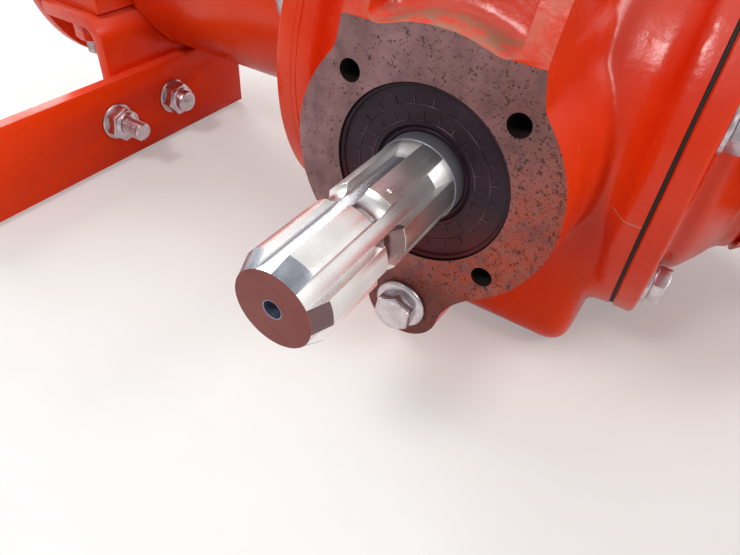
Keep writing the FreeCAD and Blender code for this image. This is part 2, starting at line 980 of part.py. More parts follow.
def make_bracket_nuts():
    nuts = []
    for place in bracket_bolt_places(saddle_x + hanger_width):
        nuts.append(washer(bracket_washer_r, bracket_bolt_r, place, along_x).fuse(
            hex_nut(bracket_bolt_r, place + along_x * washer_width, along_x)
        ))
    return Part.makeCompound(nuts)


def make_parts():
    return {
        "housing": make_housing(),
        "input_shaft": make_input_shaft(),
        "input_seal": make_input_seal(),
        "input_bearings": make_input_bearings(),
        "pinion": make_pinion(),
        "crown_wheel": make_crown_wheel(),
        "cross_shaft": make_cross_shaft(),
        "cross_bearings": make_cross_bearings(),
        "level_plug": make_level_plug(),
        "filler_plug": make_filler_plug(),
        "drain_plug": make_drain_plug(),
        "right_gasket": make_gasket(right_joint_x, flange_r - gasket_set_back),
        "right_neck": make_right_neck(),
        "right_bolts": make_side_bolts(right_seat_x, along_x),
        "right_washers": make_side_washers(right_seat_x, along_x),
        "right_tube": make_tube(neck_end_x, right_tube_end_x),
        "right_end_flange": make_right_end_flange(),
        "left_gasket": make_gasket(left_joint_x - gasket_width, flange_r),
        "left_flange": make_left_flange(),
        "left_bolts": make_side_bolts(left_seat_x, along_x * -1),
        "left_washers": make_side_washers(left_seat_x, along_x * -1),
        "left_tube": make_tube(left_tube_end_x, left_seat_x),
        "left_end_flange": make_left_end_flange(),
        "left_end_bearing": make_left_end_bearing(),
        "rear_gasket": make_rear_gasket(),
        "rear_cover": cover_plate(cover_pad_y + gasket_width, cover_width),
        "rear_bolts": make_rear_bolts(),
        "saddle_bracket": make_saddle_bracket(),
        "clamp_block": make_clamp_block(),
        "clamp_bolt": make_block_bolt(),
        "clamp_nut": make_block_nut(),
        "hanger_plate": make_hanger_plate(),
        "bracket_bolts": make_bracket_bolts(),
        "bracket_nuts": make_bracket_nuts(),
    }


os.makedirs("parts", exist_ok=True)
for name, shape in make_parts().items():
    shape.exportStep("parts/" + name + ".step")
    print(name, len(shape.Solids), round(shape.Volume), shape.isValid())
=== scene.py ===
import bpy
import math
from mathutils import Matrix, Quaternion, Vector


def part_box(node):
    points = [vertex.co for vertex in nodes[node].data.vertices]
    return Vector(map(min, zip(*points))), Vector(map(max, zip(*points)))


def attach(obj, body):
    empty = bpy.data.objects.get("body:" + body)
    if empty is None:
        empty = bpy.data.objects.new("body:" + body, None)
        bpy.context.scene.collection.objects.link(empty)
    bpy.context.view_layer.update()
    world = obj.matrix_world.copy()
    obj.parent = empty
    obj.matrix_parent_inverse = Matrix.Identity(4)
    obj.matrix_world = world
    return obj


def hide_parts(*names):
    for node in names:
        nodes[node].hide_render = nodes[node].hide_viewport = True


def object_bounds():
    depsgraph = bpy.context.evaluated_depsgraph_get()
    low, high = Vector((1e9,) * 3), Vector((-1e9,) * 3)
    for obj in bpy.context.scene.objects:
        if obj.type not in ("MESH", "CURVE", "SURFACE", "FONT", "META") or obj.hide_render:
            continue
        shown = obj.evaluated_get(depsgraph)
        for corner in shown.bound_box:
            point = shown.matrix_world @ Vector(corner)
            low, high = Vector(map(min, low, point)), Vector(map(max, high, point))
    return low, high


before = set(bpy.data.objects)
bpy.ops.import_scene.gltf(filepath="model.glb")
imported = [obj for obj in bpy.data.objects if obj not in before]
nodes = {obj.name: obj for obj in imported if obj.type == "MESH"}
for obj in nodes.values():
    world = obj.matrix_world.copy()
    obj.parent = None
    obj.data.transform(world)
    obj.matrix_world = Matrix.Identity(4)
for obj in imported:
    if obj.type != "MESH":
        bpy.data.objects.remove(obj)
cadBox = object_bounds()
bpy.ops.object.select_all(action='DESELECT')

mm = 0.001
alongX = Vector((1, 0, 0))
alongY = Vector((0, 1, 0))
alongZ = Vector((0, 0, 1))
print('stage: frame loaded', len(nodes))


# Places read from the frame

def lowOf(node):
    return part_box(node)[0]


def highOf(node):
    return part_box(node)[1]


def middleOf(node):
    low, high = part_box(node)
    return (low + high) / 2


inputAxis = Vector((0, 0, 0))
crossAxis = Vector((0, middleOf('left_tube').y, 0))    # the cross shaft's axis runs along X through it
leftJointX = highOf('left_gasket').x
rightJointX = lowOf('right_gasket').x
leftSeatX = highOf('left_tube').x
rightSeatX = lowOf('right_washers').x
crestZ = highOf('housing').z
coverPadY = lowOf('rear_gasket').y
flangeRadius = (highOf('left_flange').z - lowOf('left_flange').z) / 2
tubeRadius = (highOf('left_tube').z - lowOf('left_tube').z) / 2


# Materials

def srgb(hexColour):
    parts = [int(hexColour[i:i + 2], 16) / 255 for i in (1, 3, 5)]
    linear = [p / 12.92 if p <= 0.04045 else ((p + 0.055) / 1.055) ** 2.4 for p in parts]
    return (*linear, 1.0)


def newMaterial(name):
    material = bpy.data.materials.new(name)
    material.use_nodes = True
    material.node_tree.nodes.clear()
    return material


def addNode(material, kind, inputs=None, **settings):
    # an input is a number, a vector, a hex colour or another node's output
    tree = material.node_tree
    node = tree.nodes.new(kind)
    for key, value in settings.items():
        setattr(node, key, value)
    for key, value in (inputs or {}).items():
        if isinstance(value, bpy.types.NodeSocket):
            tree.links.new(value, node.inputs[key])
        else:
            node.inputs[key].default_value = srgb(value) if isinstance(value, str) else value
    return node


def objectPlace(material):
    return addNode(material, 'ShaderNodeTexCoord').outputs['Object']


def noise(material, size, detail=2.0, roughness=0.5, stretch=(1, 1, 1)):
    # size is the real size of the pattern's grain in mm
    stretched = addNode(material, 'ShaderNodeMapping', {
        'Scale': stretch, 'Vector': objectPlace(material)}).outputs['Vector']
    return addNode(material, 'ShaderNodeTexNoise', {
        'Scale': 1 / (size * mm), 'Detail': detail, 'Roughness': roughness,
        'Vector': stretched}).outputs['Fac']


def spots(material, size):
    return addNode(material, 'ShaderNodeTexVoronoi', {
        'Scale': 1 / (size * mm), 'Vector': objectPlace(material)}).outputs['Distance']


def spread(material, value, low, high, start=0.0, end=1.0):
    return addNode(material, 'ShaderNodeMapRange', {
        'Value': value, 'From Min': low, 'From Max': high, 'To Min': start, 'To Max': end}).outputs['Result']


def spreadMm(material, value, low, high, start=0.0, end=1.0):
    return spread(material, value, low * mm, high * mm, start, end)


def calculate(material, operation, first, second=0):
    return addNode(material, 'ShaderNodeMath', {0: first, 1: second}, operation=operation).outputs[0]


def plus(material, first, second):
    return calculate(material, 'ADD', first, second)


def times(material, first, *others):
    for other in others:
        first = calculate(material, 'MULTIPLY', first, other)
    return first


def awayFrom(material, value, middle):
    return calculate(material, 'ABSOLUTE', calculate(material, 'SUBTRACT', value, middle))


def blend(material, amount, first, second):
    return addNode(material, 'ShaderNodeMix', {0: amount, 6: first, 7: second}, data_type='RGBA').outputs[2]


def coat(material, colour, tint, *amounts):
    # a film of another colour, as thick as the amounts multiplied
    return blend(material, times(material, *amounts), colour, tint)


def relief(material, height):
    # height in mm
    return addNode(material, 'ShaderNodeBump', {
        'Strength': 1.0, 'Distance': mm, 'Height': height}).outputs['Normal']


def facingAlong(material, axis):
    normal = addNode(material, 'ShaderNodeNewGeometry').outputs['Normal']
    return addNode(material, 'ShaderNodeSeparateXYZ', {'Vector': normal}).outputs[axis]


def axes(material):
    return addNode(material, 'ShaderNodeSeparateXYZ', {'Vector': objectPlace(material)}).outputs


def offAxis(material, x, z):
    # the square of the distance from the input axis
    return plus(material, times(material, x, x), times(material, z, z))


def byRadius(material, across, first, second):
    # from 0 at the first radius, in mm, to 1 at the second
    return spread(material, across, (first * mm) ** 2, (second * mm) ** 2)


def shade(material, inputs):
    shader = addNode(material, 'ShaderNodeBsdfPrincipled', inputs)
    addNode(material, 'ShaderNodeOutputMaterial', {'Surface': shader.outputs['BSDF']})
    return material


# Places of wear and dirt, and of painted light and shade, in the part's own frame, in mm: where each begins
# and where it is full.

enamel = {
    'lowZ': (-20, -60), 'highZ': (30, 60), 'shelfY': (18, 12), 'shelfZ': (46, 50),
    'seamZ': -9, 'seamHalf': (0.7, 0.3), 'seamFromX': (67, 69), 'seamToX': (82, 81.5),
}


def makeEnamel(name, grainHeight, seam):
    # Gloss enamel sprayed on at the works, over a sand casting or over rolled steel: the metal's own
    # grain lies under the orange peel, and dust has dried on what faces up.
    material = newMaterial(name)
    x, y, z = axes(material)
    upwards = facingAlong(material, 'Z')
    cloudy = noise(material, 60, 3)
    colour = blend(material, spread(material, cloudy, 0.35, 0.65), '#D02D08', '#E03C0E')
    # low down the paint is painted a brighter orange, a painted warm light and reflection, and its specular
    # level is lowered
    low = spreadMm(material, z, *enamel['lowZ'])
    colour = coat(material, colour, '#F2400C', low, 0.8)
    # a painted pink reflection of the sky lies on what faces up, mostly high on the housing
    colour = coat(material, colour, '#CC6A62', spread(material, upwards, 0.3, 0.85),
                  spread(material, noise(material, 45, 3), 0.3, 0.6, 0.4, 0.7),
                  spreadMm(material, z, *enamel['highZ'], 0.3, 1.0))
    dust = times(material, spread(material, upwards, 0.45, 0.95),
                 spread(material, noise(material, 28, 5, 0.6), 0.45, 0.68), 0.3)
    colour = coat(material, colour, '#A8583C', dust)
    # dried drops
    colour = coat(material, colour, '#B4664C', spread(material, spots(material, 9), 0.16, 0.12),
                  spread(material, noise(material, 24), 0.54, 0.6), 0.3)
    # grey-brown dirt lies on the shelf between the ribs, just behind the faced edge
    shelf = times(material, spreadMm(material, y, *enamel['shelfY']),
                  spreadMm(material, z, *enamel['shelfZ']), spread(material, upwards, 0.35, 0.75),
                  spread(material, noise(material, 7, 4, 0.65), 0.38, 0.58))
    colour = coat(material, colour, '#94765F', shelf, 0.85)
    gloss = spread(material, noise(material, 9, 3), 0.3, 0.7, 0.2, 0.3)
    dull = plus(material, times(material, dust, 0.6), times(material, shelf, 0.5))
    grain = times(material, noise(material, 4.2, 3), grainHeight)
    sand = times(material, noise(material, 1.3, 2), grainHeight * 0.22)
    peel = times(material, noise(material, 2.2, 1), 0.035)
    height = plus(material, plus(material, grain, sand), peel)
    if seam:
        # the mould's parting line crosses the housing's right flange just below the middle
        offLine = awayFrom(material, z, enamel['seamZ'] * mm)
        line = times(material, spreadMm(material, offLine, *enamel['seamHalf']),
                     spreadMm(material, x, *enamel['seamFromX']),
                     spreadMm(material, x, *enamel['seamToX']))
        colour = coat(material, colour, '#C88A64', line, 0.5)
        height = plus(material, height, times(material, line, 0.3))
    return shade(material, {
        'Base Color': colour, 'Roughness': plus(material, gloss, dull),
        'Specular IOR Level': spread(material, low, 0, 1, 0.34, 0.12),
        'Normal': relief(material, height)})


faced = {
    'rightX': (-10, 60), 'rustFall': (35, 90), 'footZ': (-32, -48), 'crowdX': (-55, 55),
    'pits': ((2.0, 0.85), (3.4, 1.5)),
}


def makeMachinedIron():
    # Grey iron faced on a lathe and left bare: a brown film of rust, pitted by damp, orange low down.
    material = newMaterial('facedIron')
    x, y, z = axes(material)
    cloudy = noise(material, 24, 4, 0.6)
    colour = blend(material, spread(material, cloudy, 0.32, 0.68), '#6E4C4C', '#9E7678')
    colour = coat(material, colour, '#8A4E3E', spreadMm(material, x, *faced['rightX'], 0, 0.55))
    fall = plus(material, calculate(material, 'SUBTRACT', x, z), times(material, cloudy, 0.06))
    colour = coat(material, colour, '#A83C1C', spreadMm(material, fall, *faced['rustFall'], 0, 0.9),
                  spread(material, noise(material, 5, 4, 0.65), 0.3, 0.6, 0.35, 1.0))
    # the foot under the level plug is painted darker
    foot = plus(material, z, times(material, cloudy, 0.02))
    colour = coat(material, colour, '#4E241E', spreadMm(material, foot, *faced['footZ'], 0, 0.6))
    stain = spread(material, noise(material, 9, 4, 0.65), 0.48, 0.68, 0, 0.5)
    colour = coat(material, colour, '#553A42', stain)
    # fine round pits of two sizes, crowded to the right and in patches
    crowd = plus(material, noise(material, 11, 4, 0.65),
                 spreadMm(material, x, *faced['crowdX'], 0, 0.18))
    size = spread(material, crowd, 0.34, 0.86, 0.02, 0.42)
    pits = 0
    for grain, pitch in faced['pits']:
        uneven = spread(material, noise(material, grain, 2), 0.3, 0.7, -0.34, 0.32)
        inside = calculate(material, 'SUBTRACT', plus(material, size, uneven), spots(material, pitch))
        pits = calculate(material, 'MAXIMUM', pits, spread(material, inside, -0.02, 0.18))
    colour = coat(material, colour, '#38201E', pits, 0.7)
    rough = spread(material, noise(material, 3, 3), 0.3, 0.7, 0.36, 0.5)
    skin = times(material, noise(material, 0.8, 2), 0.035)
    return shade(material, {
        'Metallic': 0.45, 'Base Color': colour,
        'Roughness': plus(material, rough, times(material, pits, 0.25)),
        'Normal': relief(material, plus(material, times(material, pits, -0.1), skin))})


def makeTappedIron():
    # The walls of the drilled and tapped holes: oily, and painted near black as shade inside the holes.
    material = newMaterial('tappedIron')
    rings = noise(material, 1.2, 2, stretch=(0.1, 1, 0.1))
    return shade(material, {
        'Roughness': 0.6, 'Base Color': blend(material, rings, '#120E0E', '#2A1C18'),
        'Normal': relief(material, times(material, rings, 0.3))})


splineLook = {
    'endTint': (0.1, 0), 'chamfer': (8, 7), 'centreHole': (3.6, 3.4),
    'gapFloor': (15.3, 14.7), 'leftX': (8, 3), 'toothTop': (16.6, 17.1), 'nearSealY': (-22, 0),
    'collar': (17.42, 17.5), 'grooveFromEnd': 43.2, 'grooveHalf': (7.5, 7), 'groove': (17.35, 17.2),
    'firstToothDeg': 9.6, 'toothHalf': (4.9, 4.6), 'toothX': (5, 7), 'roughY': (-34, -10),
}


def makeSplineSteel(name, endY):
    # Alloy steel, milled along its length: fine streaks down the teeth, and on the sawn end a painted
    # red-brown reflection.
    look = splineLook
    material = newMaterial(name)
    streaky = noise(material, 0.45, 3, 0.6, (1, 0.012, 1))
    cloudy = noise(material, 14, 4, 0.6)
    x, y, z = axes(material)
    fromEnd = calculate(material, 'SUBTRACT', y, endY)
    across = offAxis(material, x, z)
    colour = blend(material, spread(material, cloudy, 0.35, 0.7), '#EFEDEB', '#DEDAD8')
    # the sawn end is painted red-brown, a painted reflection
    tint = spreadMm(material, fromEnd, *look['endTint'])
    colour = coat(material, colour, blend(material, cloudy, '#7A3E3A', '#925C58'), tint)
    # the centre hole is painted pale blue, a painted reflection
    centreHole = byRadius(material, across, *look['centreHole'])
    colour = coat(material, colour, '#AEBBDD', centreHole)
    # painted shade greys the left gaps' floors and the tops of the teeth near the seal; the collar is painted
    # a darker grey and made rougher
    offEnd = calculate(material, 'SUBTRACT', 1, tint)
    gapFloor = times(material, byRadius(material, across, *look['gapFloor']),
                     spreadMm(material, x, *look['leftX'], 0.1, 0.7))
    nearSeal = plus(material, y, times(material, cloudy, 0.01))
    toothTop = times(material, byRadius(material, across, *look['toothTop']),
                     spreadMm(material, nearSeal, *look['nearSealY'], 0, 0.5))
    colour = coat(material, colour, '#878B97', calculate(material, 'MAXIMUM', gapFloor, toothTop), offEnd)
    collar = byRadius(material, across, *look['collar'])
    colour = coat(material, colour, '#8A8690', collar)
    # the chamfers at the end are painted blue-grey, a painted reflection
    chamfer = times(material, spread(material, facingAlong(material, 'Y'), -0.15, -0.3),
                    spreadMm(material, fromEnd, *look['chamfer']))
    colour = coat(material, colour, '#8D94A2', chamfer, offEnd, 0.8)
    # painted brown shade lies on the right-hand tooth, on its chamfer and in the groove across it
    offGroove = awayFrom(material, fromEnd, look['grooveFromEnd'] * mm)
    groove = times(material, spreadMm(material, offGroove, *look['grooveHalf']),
                   byRadius(material, across, *look['groove']))
    turn = math.radians(look['firstToothDeg'])
    offTooth = awayFrom(material, times(material, z, math.cos(turn)),
                        times(material, x, math.sin(turn)))
    tooth = times(material, spreadMm(material, offTooth, *look['toothHalf']),
                  spreadMm(material, x, *look['toothX']))
    colour = coat(material, colour, '#6E4846', tooth, calculate(material, 'MAXIMUM', chamfer, groove),
                  offEnd, 0.85)
    rough = spread(material, streaky, 0.3, 0.7, 0.24, 0.3)
    for more in (times(material, tint, 0.2), spreadMm(material, y, *look['roughY'], 0, 0.16),
                 times(material, centreHole, 0.25), times(material, collar, 0.25)):
        rough = plus(material, rough, more)
    return shade(material, {
        'Metallic': 1.0, 'Base Color': colour, 'Roughness': rough,
        'Normal': relief(material, times(material, streaky, 0.0015))})


def makeZinc():
    # Bright zinc plate on forged and rolled steel: soft patches and a few dull grey specks.
    material = newMaterial('zincPlate')
    patchy = noise(material, 4.5, 4, 0.6)
    colour = blend(material, spread(material, patchy, 0.35, 0.7), '#D6CCD0', '#BBB0B5')
    colour = coat(material, colour, '#7A6A66', spread(material, noise(material, 0.7, 2), 0.66, 0.74), 0.4)
    return shade(material, {
        'Metallic': 1.0, 'Base Color': colour, 'Roughness': spread(material, patchy, 0.3, 0.7, 0.26, 0.32),
        'Normal': relief(material, times(material, noise(material, 2.4, 1), 0.006))})


sealLook = {'rustZ': (8, -16), 'raisedY': (2.62, 2.5), 'webOuter': (34, 33.5), 'webInner': (21.3, 21.6)}


def makeSealRubber():
    # Moulded nitrile rubber, dark, with a purple bloom and a film of grease and dust.
    material = newMaterial('nitrileRubber')
    x, y, z = axes(material)
    cloudy = noise(material, 12, 4, 0.6)
    colour = blend(material, spread(material, cloudy, 0.35, 0.7), '#24141F', '#34202C')
    # rust from the face has run over its lower half
    fall = plus(material, z, times(material, cloudy, 0.02))
    colour = coat(material, colour, '#5C1719', spreadMm(material, fall, *sealLook['rustZ'], 0, 0.8))
    colour = coat(material, colour, '#5A4440', spread(material, noise(material, 1.2, 2), 0.6, 0.72), 0.25)
    # the raised rings and ticks of the web are painted paler
    across = offAxis(material, x, z)
    colour = coat(material, colour, '#706069', spreadMm(material, y, *sealLook['raisedY']),
                  byRadius(material, across, *sealLook['webOuter']),
                  byRadius(material, across, *sealLook['webInner']),
                  spread(material, noise(material, 9, 3), 0.4, 0.62, 0, 0.75))
    return shade(material, {
        'Specular IOR Level': 0.22, 'Base Color': colour,
        'Roughness': spread(material, cloudy, 0.3, 0.7, 0.4, 0.5),
        'Normal': relief(material, times(material, noise(material, 0.7, 2), 0.03))})


def makeGasketPaper():
    # Oiled fibre sheet, cut to shape: dark brown, its fibres showing at the edge.
    material = newMaterial('oiledFibre')
    fibres = noise(material, 0.6, 3, stretch=(1, 0.15, 1))
    return shade(material, {
        'Base Color': blend(material, spread(material, fibres, 0.3, 0.7), '#160D0A', '#2C1B13'),
        'Roughness': 0.75, 'Normal': relief(material, times(material, fibres, 0.08))})


def makeInnerSteel():
    # Hardened bearing and gear steel, turned and ground, under a film of oil.
    material = newMaterial('groundSteel')
    rings = noise(material, 0.6, 3, stretch=(1, 0.2, 0.2))
    cloudy = noise(material, 10, 3)
    return shade(material, {
        'Metallic': 1.0, 'Base Color': blend(material, cloudy, '#8A8682', '#5F5B58'),
        'Roughness': spread(material, rings, 0.3, 0.7, 0.22, 0.36),
        'Normal': relief(material, times(material, rings, 0.01))})


castEnamel = makeEnamel('enamelOnCasting', 0.16, seam=True)
plateEnamel = makeEnamel('enamelOnSteel', 0.05, seam=False)
facedIron = makeMachinedIron()
tappedIron = makeTappedIron()
splineSteel = makeSplineSteel('milledSteel', lowOf('input_shaft').y + 0.05 * mm)
zinc = makeZinc()
sealRubber = makeSealRubber()
gasketPaper = makeGasketPaper()
innerSteel = makeInnerSteel()
print('stage: materials made', len(bpy.data.materials))


# Tools for modelling

def activate(piece):
    bpy.ops.object.select_all(action='DESELECT')
    piece.select_set(True)
    bpy.context.view_layer.objects.active = piece


def applyModifier(piece, kind, **settings):
    activate(piece)
    modifier = piece.modifiers.new('step', kind)
    for key, value in settings.items():
        setattr(modifier, key, value)
    bpy.ops.object.modifier_apply(modifier=modifier.name)


def openMesh(piece):
    # leaves edit mode open with everything selected
    activate(piece)
    bpy.ops.object.mode_set(mode='EDIT')
    bpy.ops.mesh.select_all(action='SELECT')


def closeMesh():
    bpy.ops.object.mode_set(mode='OBJECT')


def selectVertices(piece, test):
    # leaves edit mode open with the chosen vertices selected
    openMesh(piece)
    bpy.ops.mesh.select_mode(type='VERT')
    bpy.ops.mesh.select_all(action='DESELECT')
    closeMesh()
    for vertex in piece.data.vertices:
        vertex.select = test(vertex.co)
    bpy.ops.object.mode_set(mode='EDIT')


def moveVertices(piece, test, travel):
    selectVertices(piece, test)
    bpy.ops.transform.translate(value=travel)
    closeMesh()


def settle(piece):
    # the object's place goes into its mesh
    activate(piece)
    bpy.ops.object.transform_apply(location=True, rotation=True, scale=True)
    return piece


def newObject(name, data):
    piece = bpy.data.objects.new(name, data)
    bpy.context.collection.objects.link(piece)
    return piece


def named(name):
    piece = bpy.context.object
    piece.name = name
    return piece


def copyNode(node, name):
    piece = newObject(name, nodes[node].data.copy())
    piece.data.materials.clear()
    openMesh(piece)
    bpy.ops.mesh.remove_doubles(threshold=0.005 * mm)
    bpy.ops.mesh.customdata_custom_splitnormals_clear()
    closeMesh()
    return piece


def block(name, low, high):
    bpy.ops.mesh.primitive_cube_add(size=1, location=(low + high) / 2, scale=high - low)
    return settle(named(name))


def rod(name, centre, axis, radius, start, end, sides=64):
    turn = alongZ.rotation_difference(axis)
    bpy.ops.mesh.primitive_cylinder_add(
        vertices=sides, radius=radius, depth=end - start,
        location=centre + axis * (start + end) / 2, rotation=turn.to_euler())
    return settle(named(name))


def turned(name, centre, axis, sections, sides=96, hollow=False):
    # a turned piece: a disc drawn out along the axis through (distance, radius) in mm,
    # or, where it is hollow, a ring of edges drawn round its section and closed
    turn = alongZ.rotation_difference(axis)
    at, radius = sections[0]
    bpy.ops.mesh.primitive_circle_add(
        vertices=sides, radius=radius * mm, fill_type='NOTHING' if hollow else 'NGON',
        location=centre + axis * at * mm, rotation=turn.to_euler())
    piece = named(name)
    openMesh(piece)
    steps = sections[1:] + sections[:1] if hollow else sections[1:]
    for nextAt, nextRadius in steps:
        travel = axis * (nextAt - at) * mm
        bpy.ops.mesh.extrude_region_move(TRANSFORM_OT_translate={'value': travel})
        bpy.ops.transform.resize(
            value=(nextRadius / radius,) * 3, center_override=centre + axis * nextAt * mm)
        at, radius = nextAt, nextRadius
    bpy.ops.mesh.select_all(action='SELECT')
    bpy.ops.mesh.remove_doubles(threshold=0.001 * mm)
    bpy.ops.mesh.normals_make_consistent(inside=False)
    closeMesh()
    return settle(piece)


def join(pieces, name):
    bpy.ops.object.select_all(action='DESELECT')
    for piece in pieces:
        piece.select_set(True)
    bpy.context.view_layer.objects.active = pieces[0]
    bpy.ops.object.join()
    return named(name)


def copyAt(template, name, place, axis, spin=0):
    activate(template)
    bpy.ops.object.duplicate(linked=False)
    piece = named(name)
    turn = alongZ.rotation_difference(axis) @ Quaternion(alongZ, math.radians(spin))
    piece.matrix_world = Matrix.LocRotScale(place, turn, None)
    return settle(piece)


def discard(*pieces):
    for piece in pieces:
        bpy.data.objects.remove(piece)


def cut(piece, cutter, operation='DIFFERENCE', material=None):
    # the cut faces take the cutter's own material
    if material:
        cutter.data.materials.append(material)
    applyModifier(piece, 'BOOLEAN', operation=operation, object=cutter, solver='EXACT',
                  material_mode='TRANSFER' if material else 'INDEX')
    discard(cutter)


def mergeFlats(piece):
    # the flat faces' triangles become one face again
    openMesh(piece)
    bpy.ops.mesh.dissolve_limited(angle_limit=math.radians(0.6))
    closeMesh()


def easeEdges(piece, width, angle=30, segments=2):
    applyModifier(piece, 'BEVEL', width=width * mm, segments=segments, limit_method='ANGLE',
                  angle_limit=math.radians(angle), use_clamp_overlap=True)


def dress(piece, material, replaced, body='gearbox', angle=35):
    activate(piece)
    bpy.ops.object.shade_smooth_by_angle(angle=math.radians(angle))
    if not piece.data.materials:
        piece.data.materials.append(material)
    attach(piece, body)
    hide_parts(*replaced)
    return piece


def easedCopy(node, name, material, ease, body='gearbox'):
    # a plate, flange or shaft that keeps the frame's shape and gets worn, eased edges
    piece = copyNode(node, name)
    mergeFlats(piece)
    easeEdges(piece, ease)
    return dress(piece, material, [node], body)


def weight(piece, name, rule):
    group = piece.vertex_groups.new(name=name)
    for vertex in piece.data.vertices:
        amount = rule(vertex.co)
        if amount > 0:
            group.add([vertex.index], min(amount, 1), 'REPLACE')
    return name


def ramp(value, start, end):
    return min(max((value - start) / (end - start), 0), 1)


def ringPlaces(x, radius, count, firstDeg):
    # places round the cross axis, the first above the front direction
    turns = [math.radians(firstDeg + 360 / count * i) for i in range(count)]
    return [Vector((x, crossAxis.y - radius * math.cos(t), radius * math.sin(t))) for t in turns]


def roughen(piece, size, depth, group=''):
    texture = bpy.data.textures.new(piece.name + 'Surface', 'CLOUDS')
    texture.noise_scale = size * mm
    texture.noise_depth = 2
    applyModifier(piece, 'DISPLACE', texture=texture, texture_coords='LOCAL', strength=depth * mm,
                  mid_level=0.5, vertex_group=group)


# The cast housing: the frame's solid, thickened past its machined planes, remeshed and smoothed
# like a sand casting, then cut back to the planes, bores and holes.

casting = {
    'allowance': 4 * mm, 'voxel': 1.9 * mm, 'smoothAll': 4, 'smoothHollows': 26, 'uneven': (20, 0.5),
    'jointDepth': 6, 'faceRim': 16, 'faceDepth': 12, 'bossRadius': 9, 'bossDepth': 16, 'wall': 10,
    'guardPitch': 68, 'guardRadius': 4.6, 'guardDepth': 22,
    'topPitch': (50, 46), 'topRadius': 5.1, 'topDepth': 12,
    'sealDepth': 11, 'bearingRadius': 36, 'bearingDepth': 58,
    'ribFrom': 27, 'ribTo': 46, 'ribLean': 27, 'padTop': 53.5, 'cutDepth': 20,
}


